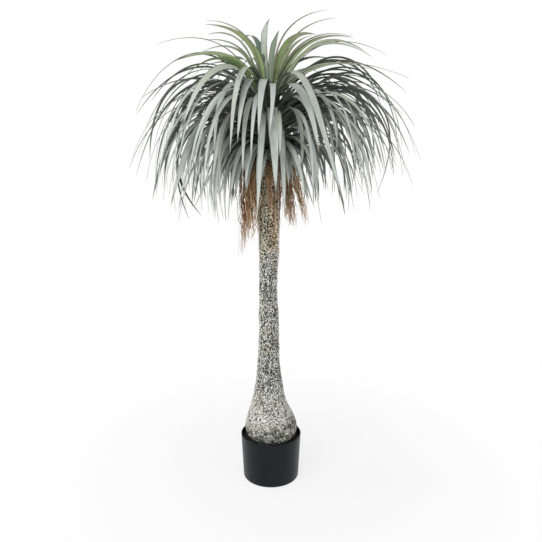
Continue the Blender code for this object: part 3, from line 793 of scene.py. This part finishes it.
class Crown:
    """Keeps the leaves that are placed, and finds room for new ones."""

    def __init__(self):
        self.trees = []

    def add(self, leaf):
        points, faces = proxy_solid(leaf)
        self.trees.append((*bounds_of(points), BVHTree.FromPolygons(points, faces)))

    def crossings(self, leaf):
        points, faces = proxy_solid(leaf, 2)
        low, high = bounds_of(points)
        tree = BVHTree.FromPolygons(points, faces)
        total = 0
        for other_low, other_high, other in self.trees:
            if all(low[axis] < other_high[axis] and high[axis] > other_low[axis]
                   for axis in range(3)):
                total += len(tree.overlap(other))
        return total

    def place(self, leaf, tries, step):
        """Turns a leaf a little at a time to where it crosses nothing, or least of the tries."""
        best = None
        for attempt in range(tries):
            turn = step * ((attempt + 1) // 2) * (1 if attempt % 2 else -1)
            turned = leaf._replace(azimuth=leaf.azimuth + turn)
            crossed = self.crossings(turned)
            if best is None or crossed < best[0]:
                best = (crossed, turned)
            if crossed == 0:
                break
        self.add(best[1])
        return best[1]


def bounds_of(points):
    return ([min(point[axis] for point in points) for axis in range(3)],
            [max(point[axis] for point in points) for axis in range(3)])


def rule_leaves():
    """The construction's own golden-angle leaves, in the same order."""
    chance = random.Random(SEED)
    sector = 360.0 - 2 * FRONT_HALF_ANGLE
    for index in range(RULE_LEAVES):
        tier = RULE_TOP_TIER * (index + 0.5) / RULE_LEAVES
        azimuth = FRONT + FRONT_HALF_ANGLE + sector * ((index * GOLDEN_SHARE) % 1.0)
        low, high = LEAF_ZONE
        yield Leaf(
            azimuth=azimuth,
            base=low + (high - low) * tier,
            launch=at_tier(tier, TIER_LAUNCH) + chance.uniform(-4, 4),
            length=at_tier(tier, TIER_LENGTH) * chance.uniform(0.95, 1.1),
            fold=at_tier(tier, TIER_FOLD),
            snap=at_tier(tier, TIER_SNAP),
            hang=at_tier(tier, TIER_HANG),
            sway=chance.uniform(-10, 10),
            width=at_tier(tier, TIER_WIDTH),
            roll=chance.uniform(-RULE_ROLL, RULE_ROLL))


def as_built(leaf, node):
    """The leaf turned about the trunk to where its box best fits that of the construction's."""
    low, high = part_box(node)

    def misfit(turned):
        tip = leaf_line(turned, PROXY_STATIONS)[0][-1]
        at_low, at_high = bounds_of(proxy_solid(turned)[0] + [tip])
        return sum(abs(at_low[axis] - low[axis]) + abs(at_high[axis] - high[axis])
                   for axis in range(3))

    turns = [TURN_STEP * step for step in range(-TURN_TRIES // 2, TURN_TRIES // 2 + 1)]
    return min((leaf._replace(azimuth=leaf.azimuth + turn) for turn in turns), key=misfit)


def crowded_tiers(count):
    """Rising tiers from 0 to 1 that lie as close together as EXTRA_CROWDING says."""
    fineness = 200
    grid = [(step + 0.5) / fineness for step in range(fineness)]
    weights = [at_tier(tier, EXTRA_CROWDING) for tier in grid]
    total, passed, tiers = sum(weights), 0.0, []
    for tier, weight in zip(grid, weights):
        passed += weight
        while len(tiers) < count and (len(tiers) + 0.5) / count <= passed / total:
            tiers.append(tier)
    return tiers


def within_crown(leaf):
    """Whether a leaf's line keeps to the crown's outline and, with a margin, to the part's box."""
    low, high = CAD_BOX
    for place in leaf_line(leaf, CHECK_STATIONS)[0]:
        if any(not low[axis] - EXTRA_MARGIN < place[axis] < high[axis] + EXTRA_MARGIN
               for axis in range(3)):
            return False
        reaches = RIGHT_REACHES if place.x > 0.0 else LEFT_REACHES
        reach = between(place.z, REACH_HEIGHTS, reaches)
        if math.hypot(place.x - trunk_x(place.z), place.y * DEPTH_REACH) > reach:
            return False
    return True


def kept_inside(leaf):
    """The leaf, shortened and lowered until it stays within the crown."""
    while not within_crown(leaf):
        leaf = leaf._replace(length=leaf.length * SHORTENING,
                             launch=max(leaf.launch - LOWERING, 0.0))
    return leaf


def at_tier(tier, values):
    return between(tier, TIERS, values)


def beside(azimuth, values):
    """A value for the front and back that turns into the one for the two sides."""
    sideways = abs(math.cos(math.radians(azimuth)))
    return between(sideways, (0.2, 0.9), values)


def extra_hang(tier, chance):
    if tier < 0.7 and chance.random() < CURLED_SHARE:
        return chance.uniform(-140, -105)
    return at_tier(tier, TIER_HANG) + chance.uniform(-26, -4)


def short_leaves():
    """Broad short leaves at the bottom of the crown that hide where the fibre begins."""
    chance = random.Random(EXTRA_SEED + 2)
    for index in range(SHORT_LEAVES):
        azimuth = chance.uniform(*SHORT_SECTORS[index % 2])
        yield 0.0, Leaf(
            azimuth=azimuth,
            base=LEAF_ZONE[0] + chance.uniform(0.0, 0.035),
            launch=chance.uniform(0, 26),
            length=chance.uniform(0.16, 0.27),
            fold=chance.uniform(0.34, 0.50),
            snap=chance.uniform(2.4, 3.4),
            hang=chance.uniform(-88, -78),
            sway=chance.uniform(-15, 15),
            width=chance.uniform(0.016, 0.023),
            roll=chance.uniform(-15, 15))


def turned_under(azimuth):
    """Which way round a leaf shows the viewer its underside: 1 on the right, -1 on the left."""
    turn = math.radians(azimuth)
    return math.cos(turn) * smooth_step(math.sin(turn), -0.65, -0.15)


def rightness(azimuth):
    """How far a direction points to the right, from 0 to 1."""
    return smooth_step(0.5 + 0.5 * math.cos(math.radians(azimuth)), 0.45, 0.75)


def by_side(azimuth, tier, values):
    """A value out of ((low left, high left), (low right, high right))."""
    left, right = [between(tier, LOW_TO_HIGH, pair) for pair in values]
    return between(rightness(azimuth), (0.0, 1.0), (left, right))


def extra_leaves():
    """The rest of the crown on a tighter spiral, thinned out in front so the middle stays open."""
    chance = random.Random(EXTRA_SEED)
    low, high = LEAF_ZONE
    for index, tier in enumerate(crowded_tiers(EXTRA_PLACES)):
        azimuth = (GOLDEN_ANGLE * index + chance.uniform(-6, 6)) % 360.0 - 180.0
        leaf = Leaf(
            azimuth=azimuth,
            base=low + (high - low) * tier + chance.uniform(-0.004, 0.004),
            launch=at_tier(tier, TIER_LAUNCH) + chance.uniform(-13, 13),
            length=at_tier(tier, EXTRA_LENGTH) * chance.uniform(0.82, 1.15),
            fold=at_tier(tier, EXTRA_FOLD) * chance.uniform(0.75, 1.15),
            snap=chance.uniform(2.2, 3.6),
            hang=extra_hang(tier, chance),
            sway=chance.uniform(-28, 28),
            width=at_tier(tier, TIER_WIDTH) * chance.uniform(*EXTRA_WIDTHS),
            roll=(chance.uniform(-1, 1) * beside(azimuth, EXTRA_ROLLS)
                  - by_side(azimuth, tier, EXTRA_TURNED_UNDER) * turned_under(azimuth)))
        if chance.random() < by_side(azimuth, tier, THINNING):
            continue
        spread = RIGHT_SPREAD * rightness(azimuth)
        leaf = leaf._replace(fold=leaf.fold * (1.0 + spread), length=leaf.length * (1.0 + spread / 2))
        off_front = abs((azimuth - FRONT + 180.0) % 360.0 - 180.0)
        if off_front < EXTRA_FRONT_FREE and tier > 0.10 and chance.random() < FRONT_LEFT_OUT:
            continue
        if off_front < EXTRA_HIGH_FREE and tier > 0.6:
            continue
        nearness = smooth_step(off_front, *NEAR_FRONT)
        sooner, shorter, wider = NEAR_SHAPE
        leaf = kept_inside(leaf._replace(fold=leaf.fold * (1.0 - sooner * nearness),
                                         length=leaf.length * (1.0 - shorter * nearness),
                                         width=leaf.width * (1.0 + wider * nearness)))
        tip = leaf_line(leaf, CHECK_STATIONS)[0][-1]
        if tip.z < chance.uniform(*EXTRA_LOW_TIPS[1 if tip.x > 0.0 else 0]):
            continue
        beside_trunk = abs(tip.x - trunk_x(tip.z))
        if tip.y < 0.0 and tip.z < FIBRE_WINDOW_TOP and beside_trunk < FIBRE_WINDOW:
            continue
        yield tier, leaf


def make_leaves(material):
    crown = Crown()
    chance = random.Random(EXTRA_SEED + 1)
    built = FRONT_LEAVES + TOP_LEAVES + tuple(rule_leaves())
    for number, leaf in enumerate(built, start=1):
        node = "leaf_%02d" % number
        young = smooth_step(leaf.base, *YOUTH_HEIGHTS) if number > len(FRONT_LEAVES) else 0.0
        look = LOOKS.get(number, Look(young))
        leaf = as_built(leaf, node)
        crown.add(leaf)
        skin = Skin()
        add_blade(skin, leaf, chance, look)
        slot = "young_leaf" if look.youth > 0.5 else "leaf"
        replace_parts(skin.build("blade_%02d" % number, material, slot), node)
    skins = [Skin() for _ in range(LEAF_GROUPS)]
    for look, leaf in EXTRA_CHOSEN:
        leaf = crown.place(leaf, PLACE_TRIES, CHOSEN_STEP)
        group = LEAF_GROUPS - 1 if look.youth > 0.5 else LEAF_GROUPS // 2
        add_blade(skins[group], leaf, chance, look)
    for tier, leaf in (*short_leaves(), *extra_leaves()):
        leaf = crown.place(leaf, PLACE_TRIES, PLACE_STEP)
        young = smooth_step(leaf.base, *YOUTH_HEIGHTS)
        dry = chance.uniform(0.0, 0.4) * young
        if tier < 0.5 and chance.random() < DRY_SHARE:
            dry = 0.5
        add_blade(skins[int(tier * LEAF_GROUPS)], leaf, chance, Look(young, dry),
                  beside(leaf.azimuth, EXTRA_CURLS))
    for group, skin in enumerate(skins, start=1):
        slot = "young_leaf" if group > LEAF_GROUPS - 2 else "leaf"
        skin.build("crown_leaves_%02d" % group, material, slot)


# ---- Trunk ----

def bark_relief(place):
    """How far the bark stands out at a place, from 0 in a crevice to 1 on a scale."""
    scales = place * BARK_CELLS
    near = noise.voronoi(scales)[0]
    plate = smooth_step(near[1] - near[0], 0.0, 0.30)
    crumbs = 0.5 + 0.5 * noise.noise(scales * 2.3)
    fissure = abs(noise.noise(place * BARK_FISSURES))
    return plate * (0.60 + 0.40 * crumbs) * (0.60 + 0.40 * smooth_step(fissure, 0.01, 0.12))


def bark_point(height, radius, angle):
    """A point of the bark's surface, and how far it stands out as a value for its colour."""
    plain = on_trunk(height, radius, angle)
    relief = bark_relief(plain)
    lumps = uneven(plain, *BARK_LUMPS) + uneven(plain, *BARK_FINE_LUMPS)
    swell = smooth_step(height, *BULB_SWELLS) * noise.noise(plain * 11.0 + Vector((3, 5, 7))) * 0.0035
    stand_out = lumps + swell + (relief - 0.6) * BARK_DEPTH
    return on_trunk(height, radius + stand_out, angle), {"relief": relief}


def make_trunk(material):
    """Bark from the bulb's underside to the growing tip, fine where it shows."""
    heights = []
    height = TRUNK_PROFILE[0][0]
    while height < TRUNK_PROFILE[-1][0]:
        heights.append(height)
        hidden = height < BARK_SHOWS[0] or height > BARK_SHOWS[1]
        height += BARK_STEP * (4.0 if hidden else 1.0)
    heights.append(TRUNK_PROFILE[-1][0])
    skin = Skin()
    skin.add_turned([(height, trunk_radius(height)) for height in heights], BARK_SIDES, bark_point)
    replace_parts(skin.build("bark", material, "trunk"), "trunk")


# ---- Dry fibre ----

def add_strand(skin, line, width, own, chance):
    """A flat strand that follows a line, swells and narrows along it, and ends in a point."""
    facing = chance.uniform(0.0, math.tau)
    across = Vector((math.cos(facing), math.sin(facing), 0.0))
    depth = Vector((-math.sin(facing), math.cos(facing), 0.0)) * STRAND_FLATNESS
    rings = []
    last = len(line) - 1
    for index, place in enumerate(line[:-1]):
        share = index / last
        half = width / 2 * (0.70 + 0.30 * math.sin(math.tau * 1.5 * share + facing))
        half *= 1.0 - 0.45 * smooth_step(share, 0.70, 1.0)
        ring = []
        for offset in (across, depth, -across, -depth):
            ring.append(skin.add_point(place + offset * half, strand_state=(own, share, 0.0)))
        rings.append(ring)
    tip = skin.add_point(line[-1], strand_state=(own, 1.0, 0.0))
    skin.close_to_tip(rings, tip, [{}] * 4)


def smooth_shift(place):
    """A smooth irregular shift in all three directions, the same in each run."""
    return Vector([noise.noise(place + Vector((0.0, WANDER_APART * axis, 0.0))) for axis in range(3)])


def tuft_strand(tuft, habit, chance):
    """The line of one strand, which droops as its tuft does and wanders about the tuft's body."""
    turn = math.radians(tuft.azimuth)
    start = on_trunk(TUFT_TOP, trunk_radius(TUFT_TOP), turn)
    shortest, longest, pull, _ = habit
    length = tuft.length * chance.uniform(shortest, longest)
    inward = Vector((-math.cos(turn), -math.sin(turn), 0.0)) * pull
    fold = between(tuft.throw, (0.0, 1.0), TUFT_FOLD) * 0.85
    line, headings = drooping_line(tuft.azimuth, start, TUFT_LAUNCH, length, fold, TUFT_SNAP,
                                   TUFT_HANG, 0, STRAND_STATIONS)
    spin = chance.uniform(0.0, math.tau)
    reach = math.sqrt(chance.random())
    drift = Vector((chance.uniform(0, 50), chance.uniform(0, 50), chance.uniform(0, 50)))
    strand = []
    for index, place in enumerate(line):
        share = index / STRAND_STATIONS
        _, across, normal = cross_axes(headings, index)
        wide = tuft.width / 2 * between(share, *TUFT_SHAPE)
        wander = Vector()
        for number, (often, least, more) in enumerate(STRAND_WAVES, start=1):
            spot = drift * number + Vector((0, 0, share * often))
            wander += smooth_shift(spot) * (least + more * share)
        wander += inward * smooth_step(share, 0.25, 1.0)
        strand.append(place + across * wide * reach * math.cos(spin)
                      + normal * wide * 0.6 * reach * math.sin(spin) + wander)
    return strand


def make_tufts(material):
    for number, tuft in enumerate(TUFTS, start=1):
        chance = random.Random(FIBRE_SEED + number)
        skin = Skin()
        habit = STRAND_HABITS.get(number, USUAL_HABIT)
        for _ in range(STRANDS_PER_TUFT):
            own = habit[3] + (1.0 - habit[3]) * chance.random()
            line = tuft_strand(tuft, habit, chance)
            add_strand(skin, line, chance.uniform(*STRAND_WIDTHS), own, chance)
        piece = skin.build("dry_fibre_%d" % number, material, "fibre")
        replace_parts(piece, "fibre_tuft_%d" % number)


def clinging_line(top, length, off, angle):
    """A line down the trunk; off and angle give its clearance and its angle at a share of it."""
    line = []
    for index in range(LOOSE_POINTS):
        share = index / (LOOSE_POINTS - 1)
        height = top - length * share
        line.append(on_trunk(height, trunk_radius(height) + LOOSE_GAP + off(share), angle(share)))
    return line


def make_loose_fibre(material):
    """Single strands that cling to the bare trunk under the crown."""
    chance = random.Random(LOOSE_SEED)
    skin = Skin()
    for _ in range(LOOSE_STRANDS):
        start = chance.uniform(0.0, math.tau)
        top = chance.uniform(0.98, 1.08)
        length = chance.uniform(0.10, 0.26)
        lean = chance.uniform(-0.25, 0.25)
        line = clinging_line(
            top, length,
            lambda share: 0.006 * abs(noise.noise(Vector((start, lean, share * 3)))),
            lambda share: start + lean * share)
        add_strand(skin, line, chance.uniform(*LOOSE_WIDTHS), chance.random(), chance)
    for number in range(TAN_STRANDS):
        start = math.radians(FRONT + chance.uniform(-12, 18))
        length = chance.uniform(0.11, 0.18)
        line = clinging_line(
            1.07, length,
            lambda share: 0.007 * share * chance.uniform(0.6, 1.0),
            lambda share: start + 0.12 * noise.noise(Vector((number, 2.5, share * 4))))
        add_strand(skin, line, chance.uniform(*TAN_WIDTHS), chance.uniform(0.62, 0.90), chance)
    skin.build("loose_fibre", material, "fibre")


# ---- Pot and soil ----

def arc(centre_radius, centre_height, size, start, end, steps):
    """Points (height, radius) of a rounding in a profile, from one angle to another."""
    turned = []
    for step in range(steps + 1):
        angle = math.radians(start + (end - start) * step / steps)
        turned.append((centre_height + size * math.sin(angle),
                       centre_radius + size * math.cos(angle)))
    return turned


def straight(start, end, steps):
    """Points between two profile points, without the two ends."""
    return [(start[0] + (end[0] - start[0]) * step / steps,
             start[1] + (end[1] - start[1]) * step / steps) for step in range(1, steps)]


def make_pot(material):
    foot_centre = pot_outer_radius(POT_FOOT_ROUND) - POT_FOOT_ROUND
    foot = arc(foot_centre, POT_FOOT_ROUND, POT_FOOT_ROUND, -90, 0, 10)
    lip = POT_WALL / 2
    rim = arc(POT_RIM_RADIUS - lip, POT_HEIGHT - lip, lip, 0, 180, 10)
    inner_radius = pot_outer_radius(POT_FLOOR + POT_INNER_ROUND) - POT_WALL
    fillet = arc(inner_radius - POT_INNER_ROUND, POT_FLOOR + POT_INNER_ROUND, POT_INNER_ROUND, 0, -90, 5)
    profile = foot + straight(foot[-1], rim[0], 12) + rim + straight(rim[-1], fillet[0], 8) + fillet

    def shape(height, radius, angle):
        wobble = 1.0 + 0.0012 * math.sin(2 * angle + 0.7) * height / POT_HEIGHT
        return Vector((radius * wobble * math.cos(angle), radius * wobble * math.sin(angle), height)), {}

    skin = Skin()
    skin.add_turned(profile, POT_SIDES, shape)
    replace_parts(skin.build("pot_shell", material, "pot"), "pot")


def make_soil(material):
    """Soil between the bulb and the pot wall, with a crumbly top."""
    top = POT_HEIGHT - SOIL_BELOW_RIM
    bottom = POT_FLOOR + SOIL_GAP
    outer_bottom = pot_outer_radius(bottom) - POT_WALL - POT_INNER_ROUND - SOIL_GAP
    outer_top = pot_outer_radius(top) - POT_WALL - SOIL_WALL_GAP
    bed_top = trunk_radius(top) - SOIL_OVER_BULB
    outer = [(bottom, outer_bottom), (bottom + POT_INNER_ROUND, outer_top - SOIL_TAPER),
             (top, outer_top)]
    surface = [(top, outer_top + (bed_top - outer_top) * step / 10) for step in range(1, 11)]
    bed = [(0.105, trunk_radius(0.105) - 0.003), (0.052, 0.045)]

    def shape(height, radius, angle):
        place = Vector((radius * math.cos(angle), radius * math.sin(angle), height))
        if height >= top - 1e-6:
            place.z += uneven(place, *SOIL_SWELL) + uneven(place, *SOIL_CLODS)
        return place, {}

    skin = Skin()
    skin.add_turned(outer + surface + bed, POT_SIDES, shape)
    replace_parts(skin.build("soil_fill", material, "soil"), "soil")


def make_crumbs(material):
    """Loose clods on the soil."""
    chance = random.Random(CRUMB_SEED)
    top = POT_HEIGHT - SOIL_BELOW_RIM
    inner, outer = trunk_radius(top) + 0.001, pot_outer_radius(top) - POT_WALL - 0.003
    skin = Skin()
    for _ in range(CRUMBS):
        angle = chance.uniform(0.0, math.tau)
        radius = chance.uniform(inner, outer)
        size = chance.uniform(0.0009, 0.0026)
        centre = Vector((radius * math.cos(angle), radius * math.sin(angle), top + size * 0.5))
        centre.z += uneven(centre, *SOIL_SWELL)
        turn = Matrix.Rotation(chance.uniform(0, math.tau), 3, "Z")
        stretch = Vector((chance.uniform(0.7, 1.5), chance.uniform(0.6, 1.1), chance.uniform(0.5, 1.0)))
        corners = []
        for spot in OCTA_POINTS:
            jag = 1.0 + chance.uniform(-0.25, 0.25)
            place = Vector((spot[0] * stretch.x, spot[1] * stretch.y, spot[2] * stretch.z)) * size * jag
            corners.append(skin.add_point(centre + turn @ place))
        for face in OCTA_FACES:
            skin.add_face([corners[corner] for corner in face])
    skin.build("soil_crumbs", material, "soil")


# ---- Floor, lights and camera ----

def floor_material():
    """White floor that fades to the plain white of the background away from the plant."""
    nodes = new_material("studio_floor")
    spot = nodes.scaled(nodes.place(), (1.0, 1.0, 0.0))
    reach = nodes.add("ShaderNodeVectorMath", {0: spot}, operation="LENGTH")["Value"]
    white = nodes.add("ShaderNodeEmission")[0]
    glow = nodes.ramp(reach, *FLOOR_FADE, FLOOR_GLOW, 1.0)
    blend = nodes.add("ShaderNodeMixShader", {0: glow, 1: nodes.shader.outputs[0], 2: white})[0]
    nodes.feed(nodes.tree.nodes["Material Output"].inputs["Surface"], blend)
    return nodes.finish((0.94, 0.94, 0.94, 1.0), 0.9, 0.1)


def make_floor():
    size = 12.0
    mesh = bpy.data.meshes.new("studio_floor")
    mesh.from_pydata([(-size, -size, 0), (size, -size, 0), (size, size, 0), (-size, size, 0)], [],
                     [(0, 1, 2, 3)])
    mesh.materials.append(floor_material())
    floor = put("studio_floor", mesh)
    floor.location.z = -FLOOR_DROP


def make_world():
    """White where the camera, a gloss or a clear surface looks at it, dimmer as a light."""
    world = bpy.data.worlds.new("studio")
    bpy.context.scene.world = world
    nodes = Nodes(world)
    rays = nodes.add("ShaderNodeLightPath")
    seen = rays["Is Camera Ray"]
    for ray in ("Is Glossy Ray", "Is Transmission Ray"):
        seen = nodes.math("MAXIMUM", seen, rays[ray])
    ground = nodes.tree.nodes["Background"]
    nodes.feed(ground.inputs["Color"], (1.0, 1.0, 1.0, 1.0))
    nodes.feed(ground.inputs["Strength"], nodes.ramp(seen, 0.0, 1.0, WORLD_LIGHT, 1.0))


def add_light(name, place, target, width, height, power):
    light = bpy.data.lights.new(name, "AREA")
    light.shape = "RECTANGLE"
    light.size, light.size_y = width, height
    light.energy = power
    lamp = put(name, light)
    lamp.location = place
    lamp.rotation_euler = (Vector(target) - Vector(place)).to_track_quat("-Z", "Y").to_euler()


def make_camera():
    camera = bpy.data.cameras.new("camera")
    camera.lens = CAMERA_LENS
    camera.sensor_width = SENSOR_WIDTH
    eye = put("camera", camera)
    eye.location = (0.0, -CAMERA_DISTANCE, CAMERA_HEIGHT)
    eye.rotation_euler = (math.radians(90.0 - CAMERA_PITCH), 0.0, 0.0)
    bpy.context.scene.camera = eye


def main():
    leaf = leaf_material()
    fibre = fibre_material()
    soil = soil_material()
    make_leaves(leaf)
    make_trunk(bark_material())
    make_tufts(fibre)
    make_loose_fibre(fibre)
    make_pot(pot_material())
    make_soil(soil)
    make_crumbs(soil)
    make_floor()
    make_world()
    for light in LIGHTS:
        add_light(*light)
    make_camera()
    bpy.context.scene.view_settings.view_transform = "Standard"
    bpy.context.view_layer.update()


main()
